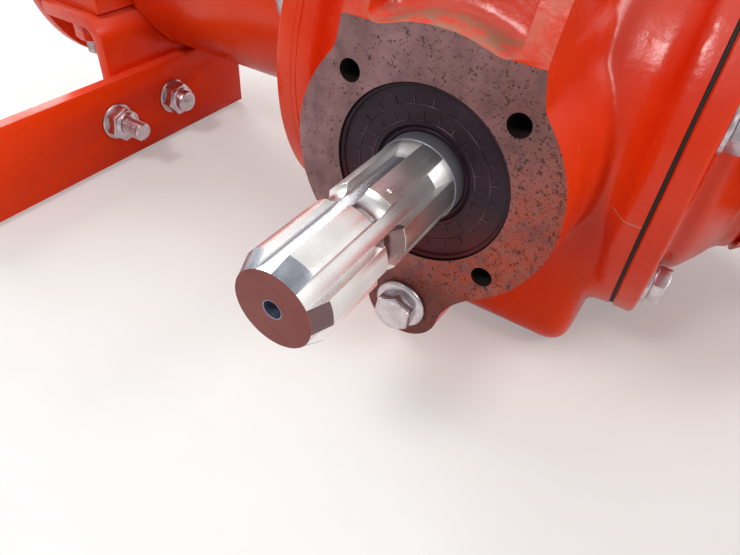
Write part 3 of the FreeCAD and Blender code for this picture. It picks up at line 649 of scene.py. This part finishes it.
def makeHousing():
    piece = copyNode('housing', 'castHousing')
    extra = casting['allowance']
    near = 0.05 * mm
    planes = (
        (lambda co: co.y < near, (0, -extra, 0)),
        (lambda co: co.x < leftJointX + near, (-extra, 0, 0)),
        (lambda co: co.x > rightJointX - near, (extra, 0, 0)),
        (lambda co: co.z > crestZ - near, (0, 0, extra)),
        (lambda co: co.y > coverPadY - near, (0, extra, 0)),
    )
    for test, travel in planes:
        moveVertices(piece, test, travel)

    # solid metal behind the planes, so that the remeshed walls are never thin
    coverLow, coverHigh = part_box('rear_cover')
    inset = Vector((2, 0, 2)) * mm
    sealRadius = highOf('input_seal').x
    fillerY = middleOf('filler_plug').y
    most = extra * 0.98
    rim = flangeRadius - 2 * mm
    joint = casting['jointDepth'] * mm
    boss = casting['bossRadius'] * mm
    backWall = crossAxis.y + flangeRadius - casting['wall'] * mm
    rods = (
        (crossAxis, alongX, rim, leftJointX - most, leftJointX + joint),
        (crossAxis, alongX, rim, rightJointX - joint, rightJointX + most),
        (inputAxis, alongY, sealRadius + casting['faceRim'] * mm, -most, casting['faceDepth'] * mm),
        (alongZ * middleOf('level_plug').z, alongY, boss, -most, casting['bossDepth'] * mm),
        (alongZ * middleOf('drain_plug').z, alongY, boss, backWall - boss, backWall - 0.2 * mm),
    )
    blocks = (
        (Vector((coverLow.x, coverPadY - 3 * mm, coverLow.z)) + inset,
         Vector((coverHigh.x, coverPadY + most, coverHigh.z)) - inset),
        (Vector((-33 * mm, fillerY - 32 * mm, crestZ - 10 * mm)),
         Vector((33 * mm, fillerY + 38 * mm, crestZ + most))),
    )
    fillers = [rod('filler', *sizes) for sizes in rods] + [block('filler', *ends) for ends in blocks]
    piece = join([piece, *fillers], 'castHousing')
    applyModifier(piece, 'REMESH', mode='VOXEL', voxel_size=casting['voxel'])
    print('stage: housing remeshed', len(piece.data.polygons))
    hollows = weight(piece, 'hollows', lambda co: (
        ramp(co.y, 6 * mm, 20 * mm) * (1 - ramp(co.y, 70 * mm, 85 * mm))
        * (1 - ramp(co.z, 40 * mm, 55 * mm))))
    applyModifier(piece, 'SMOOTH', factor=0.5, iterations=casting['smoothAll'])
    applyModifier(piece, 'SMOOTH', factor=0.5, iterations=casting['smoothHollows'], vertex_group=hollows)
    roughen(piece, *casting['uneven'])
    piece.data.materials.clear()
    piece.data.materials.append(castEnamel)

    # the ribs' leaning fronts start at the top of the faced pads, and are painted
    for side in (-1, 1):
        low, high = sorted((side * casting['ribFrom'], side * casting['ribTo']))
        lean = block('lean', Vector((low, -30, -14)) * mm, Vector((high, -0.25, 60)) * mm)
        lean.matrix_world = (Matrix.Translation((0, 0, casting['padTop'] * mm))
                             @ Matrix.Rotation(math.radians(-casting['ribLean']), 4, 'X'))
        cut(piece, settle(lean), material=castEnamel)

    past = casting['cutDepth'] * mm
    wide = 125 * mm
    cuts = (
        ((-75 * mm, -past, -105 * mm), (75 * mm, 0, 75 * mm)),
        ((leftJointX - past, 20 * mm, -wide), (leftJointX, 260 * mm, wide)),
        ((rightJointX, 20 * mm, -wide), (rightJointX + past, 260 * mm, wide)),
        ((-50 * mm, 30 * mm, crestZ), (50 * mm, 190 * mm, crestZ + past)),
        ((-60 * mm, coverPadY, -95 * mm), (60 * mm, coverPadY + past, 50 * mm)),
    )
    cutters = [block('plane', Vector(low), Vector(high)) for low, high in cuts]
    cut(piece, join(cutters, 'planes'), material=facedIron)
    print('stage: housing planes cut', len(piece.data.polygons))

    half = casting['guardPitch'] / 2 * mm
    halfX, halfY = (pitch / 2 * mm for pitch in casting['topPitch'])
    inner = casting['bearingRadius']
    deep = casting['sealDepth']
    seat = sealRadius / mm
    guard = (alongY, casting['guardRadius'] * mm, -5 * mm, casting['guardDepth'] * mm, 32)
    top = (alongZ, casting['topRadius'] * mm, -casting['topDepth'] * mm, 5 * mm, 32)
    bores = [turned('bore', inputAxis, alongY, [
        (-5, seat), (deep, seat), (deep + 0.4, inner), (casting['bearingDepth'], inner)])]
    bores += [rod('bore', Vector((x, 0, z)), *guard) for x in (-half, half) for z in (-half, half)]
    bores += [rod('bore', Vector((x, fillerY + y, crestZ)), *top)
              for x in (-halfX, halfX) for y in (-halfY, halfY)]
    cut(piece, join(bores, 'bores'), material=tappedIron)
    print('stage: housing bores cut', len(piece.data.polygons))
    return dress(piece, castEnamel, ['housing'])


# Right flange and neck: a casting of its own, turned flat where it meets the gasket and the washers.

neck = {
    'spigot': (20, 44, 69), 'flangeEdge': 2.2, 'shoulderRadius': 76, 'shoulderLength': 17,
    'footRadius': 55, 'length': 28, 'uneven': (22, 0.4), 'sides': 144,
}


def makeNeck():
    jointX = highOf('right_gasket').x / mm
    seatX = rightSeatX / mm
    rim = flangeRadius / mm
    tube = tubeRadius / mm
    edge = neck['flangeEdge']
    shoulder = neck['shoulderRadius']
    fall = shoulder - tube
    foot = neck['footRadius']
    end = seatX + neck['length']
    depth, bore, spigot = neck['spigot']
    sections = [(jointX - depth, bore), (jointX - depth, spigot), (jointX, spigot),
                (jointX, rim - 0.7), (jointX + 0.7, rim)]
    for step in range(0, 5):
        turn = math.radians(22.5 * step)
        sections.append((seatX - edge + edge * math.sin(turn), rim - edge + edge * math.cos(turn)))
    sections += [(seatX, shoulder + 5), (seatX + 0.6, shoulder + 2.2), (seatX + 2.6, shoulder + 0.4)]
    # the round of the shoulder, then the hollow down to the tube
    for share, drop in ((0.3, 0.02), (0.45, 0.07), (0.6, 0.17), (0.75, 0.3), (0.88, 0.41), (1.0, 0.52)):
        sections.append((seatX + neck['shoulderLength'] * share, shoulder - fall * drop))
    run = neck['length'] - neck['shoulderLength']
    start = shoulder - fall * 0.52
    for share, drop in ((0.14, 0.35), (0.3, 0.64), (0.5, 0.86), (0.75, 0.96)):
        sections.append((seatX + neck['shoulderLength'] + run * share, start - (start - foot) * drop))
    sections += [(end - 1.2, foot - 1.4), (end, foot - 3), (end, tube - 6)]
    piece = turned('rightNeck', crossAxis, alongX, sections, neck['sides'], hollow=True)
    roughen(piece, *neck['uneven'])
    return dress(piece, castEnamel, ['right_neck'], angle=40)


# Left flange: a steel plate turned flat, welded to the axle tube.

leftFlange = {'spigot': (20, 46, 69), 'bore': 8, 'sides': 144}


def makeLeftFlange():
    jointX = lowOf('left_gasket').x / mm
    seatX = leftSeatX / mm
    rim = flangeRadius / mm
    depth, bore, spigot = leftFlange['spigot']
    sections = [(jointX + depth, bore), (jointX + depth, spigot), (jointX, spigot), (jointX, rim - 0.8),
                (jointX - 0.8, rim), (seatX + 1.6, rim), (seatX + 0.5, rim - 0.5), (seatX, rim - 1.6),
                (seatX, tubeRadius / mm - leftFlange['bore'])]
    piece = turned('leftFlange', crossAxis, alongX, sections, leftFlange['sides'], hollow=True)
    return dress(piece, plateEnamel, ['left_flange'])


# Axle tubes with their welds

tubeSize = {'wall': 6, 'ease': 0.4, 'sides': 128}
weld = {'leg': 6.0, 'ripple': 0.45, 'sides': 240, 'ripplePitch': 3}


def weldBead(name, x, side):
    # a fillet weld round the tube against the face at x, its run rippled by the torch
    leg = weld['leg']
    base = tubeRadius / mm
    profile = [(0, base - 1), (0, base + leg), (leg * 0.3, base + leg * 0.78),
               (leg * 0.62, base + leg * 0.5), (leg * 0.9, base + leg * 0.2), (leg * 1.1, base - 0.2),
               (leg * 1.1, base - 1)]
    sections = [(x / mm + side * reach, radius) for reach, radius in profile]
    piece = turned(name, crossAxis, alongX, sections, weld['sides'], hollow=True)
    step = 2 * math.pi / weld['sides']

    def crest(co):
        turn = math.atan2(co.z, co.y - crossAxis.y)
        radius = math.hypot(co.z, co.y - crossAxis.y)
        return round(turn / step) % weld['ripplePitch'] == 0 and radius > tubeRadius + 0.3 * mm

    selectVertices(piece, crest)
    bpy.ops.transform.shrink_fatten(value=-weld['ripple'] * mm)
    closeMesh()
    return piece


def makeTube(node, name, beads):
    start, end = (corner.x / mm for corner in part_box(node))
    outer = tubeRadius / mm
    inner = outer - tubeSize['wall']
    ease = tubeSize['ease']
    sections = [(start, inner), (start, outer - ease), (start + ease, outer),
                (end - ease, outer), (end, outer - ease), (end, inner)]
    tube = turned(name, crossAxis, alongX, sections, tubeSize['sides'], hollow=True)
    welds = [weldBead(name + 'Weld', x, side) for x, side in beads]
    return dress(join([tube, *welds], name), plateEnamel, [node])


# Screws, washers and plugs: each kind is made once, standing on its seat, and copied to its places.

def hexHead(flats, height, lift=0.0):
    # a forged hexagon with its corners turned off and a shallow dish on top
    corner = flats / math.sqrt(3)
    head = rod('head', inputAxis, alongZ, corner * mm, lift * mm, height * mm, 6)
    reach = corner + 3
    rim = flats / 2 * 0.96
    lathe = turned('lathe', inputAxis, alongZ, [
        (lift - 1, reach), (height - (reach - rim) * 0.577, reach), (height - 0.12, rim + 0.2),
        (height, rim - 0.3), (height, rim * 0.66), (height - 0.3, rim * 0.56), (height - 0.3, 0.2)])
    cut(head, lathe, 'INTERSECT')
    easeEdges(head, 0.3, 40)
    return head


def makeScrew(size):
    thread, flats, length = size['thread'], size['flats'], size['length']
    head = hexHead(flats, size['headHeight'], 0.5)
    shank = turned('screw', inputAxis, alongZ, [
        (-length, thread - 0.8), (-length + 1, thread), (0, thread), (0, flats / 2 * 0.93),
        (0.55, flats / 2 * 0.95)], 48)
    return join([head, shank], 'screw')


def makeWasher(size):
    inner, outer, width = size['thread'] + 0.3, size['washerRadius'], size['washerWidth']
    return turned('washer', inputAxis, alongZ, [
        (0, inner + 0.2), (0, outer - 0.3), (0.3, outer), (width - 0.5, outer), (width, outer - 0.5),
        (width, inner + 0.4), (width - 0.3, inner)], 64, hollow=True)


def threadedRod(radius, length, pitch):
    # the crests and roots of a rolled thread, and its chamfered end
    depth = 0.6 * pitch
    sections = [(0, radius)]
    at = pitch / 2
    while at < length - pitch:
        sections += [(at, radius), (at + pitch * 0.12, radius), (at + pitch * 0.44, radius - depth),
                     (at + pitch * 0.56, radius - depth), (at + pitch * 0.88, radius)]
        at += pitch
    sections += [(length - depth, radius), (length, radius - depth * 1.2)]
    return turned('rod', inputAxis, alongZ, sections, 40)


sideScrew = {
    'thread': 5, 'flats': 16.5, 'headHeight': 6.75, 'length': 20, 'washerRadius': 10.8, 'washerWidth': 2.0,
    'firstDeg': 21.1, 'circleRadius': 87, 'spins': (8, 41, 22, 3, 50, 31),
}


def makeSideScrews():
    screw = makeScrew(sideScrew)
    washer = makeWasher(sideScrew)
    spins = sideScrew['spins']
    for seatX, axis, side in ((rightSeatX, alongX, 'right'), (leftSeatX, -alongX, 'left')):
        places = ringPlaces(seatX, sideScrew['circleRadius'] * mm, len(spins), sideScrew['firstDeg'])
        seats = [place + axis * sideScrew['washerWidth'] * mm for place in places]
        screws = [copyAt(screw, 'screw', seat, axis, spin) for seat, spin in zip(seats, spins)]
        washers = [copyAt(washer, 'washer', place, axis) for place in places]
        dress(join(screws, side + 'Screws'), zinc, [side + '_bolts'])
        dress(join(washers, side + 'Washers'), zinc, [side + '_washers'])
    discard(screw, washer)


coverScrew = {
    'thread': 4, 'flats': 13.2, 'headHeight': 5.4, 'length': 14, 'inset': 8.5,
    'spins': (12, 47, 5, 29, 55, 20),
}


def makeCoverScrews():
    low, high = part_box('rear_cover')
    inset = coverScrew['inset'] * mm
    screw = makeScrew(coverScrew)
    heights = (low.z + inset, (low.z + high.z) / 2, high.z - inset)
    places = [Vector((x, high.y, z)) for x in (low.x + inset, high.x - inset) for z in heights]
    screws = [copyAt(screw, 'screw', place, alongY, spin)
              for place, spin in zip(places, coverScrew['spins'])]
    dress(join(screws, 'coverScrews'), zinc, ['rear_bolts'])
    discard(screw)


# Plugs. Their sizes are the thread's radius, the flange's radius and width, the hexagon across its
# flats, the height over the seat and the depth below it.

plugs = (
    ('level_plug', 'levelPlug', (6.0, 12.5, 2.5, 16.6, 10.0, 12.0), -alongY, -5),
    ('filler_plug', 'fillerPlug', (9.0, 14.0, 3.0, 22.0, 12.0, 8.0), alongZ, 20),
    ('drain_plug', 'drainPlug', (7.0, 11.0, 2.5, 17.0, 9.0, 8.0), alongY, 5),
)


def makePlugs():
    for node, name, sizes, axis, spin in plugs:
        thread, flange, width, flats, height, depth = sizes
        head = hexHead(flats, height, width - 0.6)
        body = turned('plug', inputAxis, alongZ, [
            (-depth, thread - 1), (-depth + 1, thread), (0, thread), (0, flange - 0.4), (0.4, flange),
            (width * 0.55, flange), (width * 0.8, flange - 0.35), (width, flange - 1.1),
            (width + 0.25, flats / 2 * 1.02), (width + 0.3, flats / 2 * 0.9)])
        piece = join([head, body], 'plug')
        low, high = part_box(node)
        middle = (low + high) / 2
        seat = middle + axis * (abs((high - middle).dot(axis)) - height * mm)
        dress(copyAt(piece, name, seat, axis, spin), zinc, [node])
        discard(piece)


# Input seal: a rubber-covered band, a sunk web with moulded rings and ticks, and the lip.

seal = {
    'radius': 37.95, 'front': 1.0, 'depth': 9.8, 'lipRadius': 17.95, 'sides': 144,
    'ticks': 48, 'tickFrom': (29.0, 22.8), 'tickLength': 3, 'tickWidth': 0.26,
}


def makeSeal():
    front, rim, lip = seal['front'], seal['radius'], seal['lipRadius']
    # how far behind the front, and at which radius
    profile = [
        (seal['depth'], rim - 0.4), (1.0, rim), (0.25, rim - 0.25), (0, rim - 0.7), (0, rim - 1.5),
        (0.35, rim - 1.9), (1.5, rim - 2.2), (1.9, rim - 2.9), (1.7, 29.3), (1.4, 29.15), (1.4, 28.9),
        (1.7, 28.75), (1.65, 23.1), (1.35, 22.95), (1.35, 22.7), (1.65, 22.55), (1.7, 20.9), (2.6, 20.5),
        (2.9, 19.9), (2.2, 19.3), (2.2, 18.5), (2.9, lip), (seal['depth'], lip)]
    sections = [(front + behind, radius) for behind, radius in profile]
    pieces = [turned('inputSeal', inputAxis, alongY, sections, seal['sides'], hollow=True)]
    # short moulded ticks stand on the two rings, turn by turn
    half = seal['tickWidth'] / 2
    for index in range(seal['ticks']):
        start = seal['tickFrom'][index % 2]
        tick = block('tick', Vector((start, front + 1.4, -half)) * mm,
                     Vector((start + seal['tickLength'], front + 2.2, half)) * mm)
        tick.matrix_world = Matrix.Rotation(math.radians(360 / seal['ticks'] * index + 2), 4, 'Y')
        pieces.append(settle(tick))
    return dress(join(pieces, 'inputSeal'), sealRubber, ['input_seal'])


# Bracket screws: the first stands far out of its nut, the second ends in a locking nut.

bracketScrew = {
    'thread': 6, 'pitch': 1.75, 'flats': 19.8, 'nutHeight': 9.6, 'headHeight': 8.1,
    'washerRadius': 12, 'washerWidth': 2.0, 'out': (14, 4.4), 'spins': (17, 8), 'capRadius': 7.3,
}


def makeBracketNut(size):
    height, half = size['nutHeight'], size['flats'] / 2
    nut = hexHead(size['flats'], height * 0.82)
    ring = turned('nut', inputAxis, alongZ, [
        (height * 0.75, half * 0.9), (height * 0.86, half * 0.86), (height * 0.96, half * 0.74),
        (height, half * 0.64), (height, size['thread'] * 0.9)], 64)
    return join([nut, ring], 'nut')


def makeBracketScrews():
    size = bracketScrew
    nutSeat = lowOf('bracket_nuts').x
    headSeat = lowOf('bracket_bolts').x + size['headHeight'] * mm
    middle = middleOf('bracket_nuts')
    half = (highOf('bracket_nuts').y - lowOf('bracket_nuts').y) / 2 - size['washerRadius'] * mm
    washer = makeWasher(size)
    head = hexHead(size['flats'], size['headHeight'])
    nut = makeBracketNut(size)
    # the second is a lock nut, its collar as long as the bolt
    radius = size['capRadius']
    end = size['nutHeight'] + size['out'][1]
    cap = turned('cap', inputAxis, alongZ, [
        (size['nutHeight'] - 1, radius), (end - 1.2, radius), (end - 0.3, radius - 0.5),
        (end, radius - 1.2), (end, size['thread'] * 0.9)], 64)
    nuts = []
    screws = []
    for side, out, spin in zip((-1, 1), size['out'], size['spins']):
        place = Vector((nutSeat, middle.y + side * half, middle.z))
        nuts.append(copyAt(washer, 'washer', place, alongX))
        place = place + alongX * size['washerWidth'] * mm
        nuts.append(copyAt(nut, 'nut', place, alongX, spin))
        if side > 0:
            nuts.append(copyAt(cap, 'cap', place, alongX))
        place = Vector((headSeat, place.y, place.z))
        screws.append(copyAt(head, 'head', place, -alongX, spin + 20))
        grip = (nutSeat - headSeat) / mm + size['washerWidth'] + size['nutHeight']
        shank = threadedRod(size['thread'], grip + out, size['pitch'])
        screws.append(copyAt(shank, 'rod', place, alongX))
        discard(shank)
    dress(join(nuts, 'bracketNuts'), zinc, ['bracket_nuts'])
    dress(join(screws, 'bracketScrews'), zinc, ['bracket_bolts'])
    discard(nut, cap, washer, head)


clampScrew = {'nutHeight': 13, 'longer': 5, 'spins': (14, 8)}


def makeClampScrew():
    size = bracketScrew
    middle = middleOf('clamp_nut')
    seat = Vector((middle.x, middle.y, highOf('clamp_block').z))
    under = Vector((middle.x, middle.y, highOf('clamp_nut').z))
    headSpin, nutSpin = clampScrew['spins']
    length = (highOf('clamp_block').z - lowOf('clamp_bolt').z) / mm + clampScrew['longer']
    head = hexHead(size['flats'], size['headHeight'])
    shank = threadedRod(size['thread'], length, size['pitch'])
    parts = [copyAt(head, 'head', seat, alongZ, headSpin), copyAt(shank, 'rod', seat, -alongZ)]
    dress(join(parts, 'clampScrew'), zinc, ['clamp_bolt'])
    nut = hexHead(size['flats'], clampScrew['nutHeight'])
    dress(copyAt(nut, 'clampNut', under, -alongZ, nutSpin), plateEnamel, ['clamp_nut'])
    discard(head, shank, nut)


# Left end bearing: outer ring, sunk shield, inner ring.

endBearing = {'bore': 20.1, 'innerRing': 25.4, 'outerRing': 4.2, 'ease': 0.8}


def makeEndBearing():
    low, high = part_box('left_end_bearing')
    outer = (high.z - low.z) / 2 / mm
    face, back = low.x / mm, high.x / mm
    bore, ring, ease = endBearing['bore'], endBearing['innerRing'], endBearing['ease']
    shield = outer - endBearing['outerRing']
    sections = [
        (back, bore), (back, outer), (face + ease, outer), (face, outer - ease), (face, shield),
        (face + 0.9, shield - 0.2), (face + 1.2, shield - 1.2), (face + 1.2, ring + 1),
        (face + 0.9, ring + 0.2), (face, ring), (face, bore + ease), (face + ease, bore)]
    piece = turned('leftEndBearing', crossAxis, alongX, sections, 96, hollow=True)
    return dress(piece, innerSteel, ['left_end_bearing'])


# Input shaft, with the mark of a hardness test on the tooth behind the ring groove

shaftMark = {'place': (7.05, -36.3, 17.1), 'radius': 1.5}


def makeInputShaft():
    piece = copyNode('input_shaft', 'inputShaft')
    mergeFlats(piece)
    easeEdges(piece, 0.15, angle=20, segments=1)
    bpy.ops.mesh.primitive_uv_sphere_add(
        segments=24, ring_count=12, radius=shaftMark['radius'] * mm, location=Vector(shaftMark['place']) * mm)
    cut(piece, settle(bpy.context.object))
    return dress(piece, splineSteel, ['input_shaft'], 'input_line', 16)


# Left gasket: painted over, so the paint bridges most of the joint on both sides

leftGasket = {'bridge': 0.45}


def makeLeftGasket():
    piece = copyNode('left_gasket', 'leftGasket')
    mergeFlats(piece)
    middle = middleOf('left_gasket').x
    bridge = leftGasket['bridge'] * mm
    moveVertices(piece, lambda co: co.x < middle, (-bridge, 0, 0))
    moveVertices(piece, lambda co: co.x > middle, (bridge, 0, 0))
    return dress(piece, plateEnamel, ['left_gasket'])


# Saddle bracket: a bent plate, welded to the tube along its far side

saddle = {'tabReach': 26.5, 'tabDrop': 6, 'width': 8, 'ease': 0.8, 'weldTop': -37, 'weldBack': 2}


def makeSaddle():
    piece = copyNode('saddle_bracket', 'saddleBracket')
    mergeFlats(piece)
    low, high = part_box('saddle_bracket')
    # the tab in front stands a little lower than the plate bolted to it
    tabTop = highOf('hanger_plate').z
    tabBack = low.y + saddle['tabReach'] * mm
    moveVertices(piece, lambda co: co.y < tabBack and abs(co.z - tabTop) < mm,
                 (0, 0, -saddle['tabDrop'] * mm))
    easeEdges(piece, saddle['ease'])
    # the bead follows the tube's underside from the weld's top to just before the bracket's back edge
    bead = weldBead('bead', high.x - saddle['width'] * mm, -1)
    ends = ((alongZ * saddle['weldTop'] * mm, alongZ), (alongY * (high.y - saddle['weldBack'] * mm), alongY))
    for place, normal in ends:
        openMesh(bead)
        bpy.ops.mesh.bisect(plane_co=place, plane_no=normal, use_fill=True, clear_outer=True)
        closeMesh()
    return dress(join([piece, bead], 'saddleBracket'), plateEnamel, ['saddle_bracket'])


makeHousing()
makeNeck()
makeLeftFlange()
makeTube('left_tube', 'leftTube', ((leftSeatX, -1), (lowOf('left_tube').x, 1)))
makeTube('right_tube', 'rightTube', ((lowOf('right_tube').x, 1), (highOf('right_tube').x, -1)))
print('stage: flanges and tubes made')
makeSideScrews()
makeCoverScrews()
makePlugs()
makeSeal()
makeBracketScrews()
makeClampScrew()
makeEndBearing()
print('stage: screws, plugs and seal made')
makeInputShaft()
easedCopy('cross_shaft', 'crossShaft', splineSteel, 0.25, 'cross_line')
easedCopy('left_end_flange', 'leftEndFlange', plateEnamel, 0.8)
easedCopy('right_end_flange', 'rightEndFlange', plateEnamel, 0.8)
makeLeftGasket()
easedCopy('right_gasket', 'rightGasket', gasketPaper, 0.2)
easedCopy('rear_gasket', 'rearGasket', gasketPaper, 0.2)
easedCopy('rear_cover', 'rearCover', plateEnamel, 1.2)
makeSaddle()
easedCopy('clamp_block', 'clampBlock', plateEnamel, 1.2)
easedCopy('hanger_plate', 'hangerPlate', plateEnamel, 0.9)
for name in ('input_bearings', 'pinion', 'crown_wheel', 'cross_bearings'):
    nodes[name].data.materials.clear()
    nodes[name].data.materials.append(innerSteel)
print('stage: plates and shafts made')


# Camera, lights and floor

view = {
    'place': (0.084, -0.1825, 0.126), 'forward': (-0.3625, 0.6491, -0.6688), 'up': (-0.398, 0.5411, 0.7408),
    'lens': 28.95, 'sensor': 36, 'nearest': 0.01,
}


def makeCamera():
    forward = Vector(view['forward']).normalized()
    up = Vector(view['up'])
    up = (up - forward * up.dot(forward)).normalized()
    side = forward.cross(up)
    data = bpy.data.cameras.new('camera')
    data.lens = view['lens']
    data.sensor_width = view['sensor']
    data.clip_start = view['nearest']
    camera = newObject('camera', data)
    turn = Matrix((side, up, -forward)).transposed().to_4x4()
    camera.matrix_world = Matrix.Translation(Vector(view['place'])) @ turn
    bpy.context.scene.camera = camera


# Lights: name, place and aim in m, size in m, watts

lights = (
    ('softLeft', (-1.1, 0.5, 0.75), (0, 0.05, 0), 0.9, 17),
    ('softTop', (-0.2, -0.62, 0.85), (0.05, 0.05, 0.03), 0.22, 5),
    ('softRight', (0.9, 0.1, 0.8), (0, 0.1, 0), 0.5, 7),
)
sky = {'lighting': 0.42, 'front': 0.4, 'fade': (-0.35, 0.25)}


def makeLights():
    for name, place, aim, size, watts in lights:
        data = bpy.data.lights.new(name, 'AREA')
        data.size = size
        data.energy = watts
        turn = (-alongZ).rotation_difference(Vector(aim) - Vector(place))
        newObject(name, data).matrix_world = Matrix.LocRotScale(Vector(place), turn, None)
    world = bpy.data.worlds.new('studio')
    world.use_nodes = True
    world.node_tree.nodes.clear()
    # the backdrop is white to the camera; in reflections it fades to grey towards the front
    path = addNode(world, 'ShaderNodeLightPath').outputs
    direction = addNode(world, 'ShaderNodeTexCoord').outputs['Generated']
    backwards = addNode(world, 'ShaderNodeSeparateXYZ', {'Vector': direction}).outputs['Y']
    mirrored = calculate(world, 'MAXIMUM', path['Is Glossy Ray'], path['Is Transmission Ray'])
    mirrored = times(world, mirrored, spread(world, backwards, *sky['fade'], sky['front'], 1.0))
    strength = calculate(world, 'MAXIMUM', calculate(world, 'MAXIMUM', path['Is Camera Ray'], mirrored),
                         sky['lighting'])
    background = addNode(world, 'ShaderNodeBackground', {'Color': (1, 1, 1, 1), 'Strength': strength})
    addNode(world, 'ShaderNodeOutputWorld', {'Surface': background.outputs['Background']})
    bpy.context.scene.world = world


floorLook = {'size': 20, 'grain': 40, 'away': (0.4, 2.5), 'glow': (0.3, 0.78)}


def makeFloor():
    # a pale matt board; what it adds for the camera and in reflections grows with the distance,
    # so that it stays as pale where the lamps don't reach
    material = newMaterial('paleFloor')
    grain = noise(material, floorLook['grain'], 2)
    path = addNode(material, 'ShaderNodeLightPath').outputs
    seen = calculate(material, 'MAXIMUM', path['Is Camera Ray'], path['Is Glossy Ray'])
    seen = calculate(material, 'MAXIMUM', seen, path['Is Transmission Ray'])
    away = addNode(material, 'ShaderNodeVectorMath', {0: objectPlace(material)}, operation='LENGTH')
    glow = spread(material, away.outputs['Value'], *floorLook['away'], *floorLook['glow'])
    shade(material, {
        'Roughness': 0.8, 'Base Color': blend(material, grain, '#B6B4B1', '#BDBBB8'),
        'Emission Color': (1, 1, 1, 1), 'Emission Strength': times(material, seen, glow)})
    bpy.ops.mesh.primitive_plane_add(size=floorLook['size'], location=(0, 0, cadBox[0][2]))
    floor = named('floor')
    floor.data.materials.append(material)
    settle(floor)


makeCamera()
makeLights()
makeFloor()
bpy.context.scene.view_settings.view_transform = 'Standard'
print('stage: camera, lights and floor made')
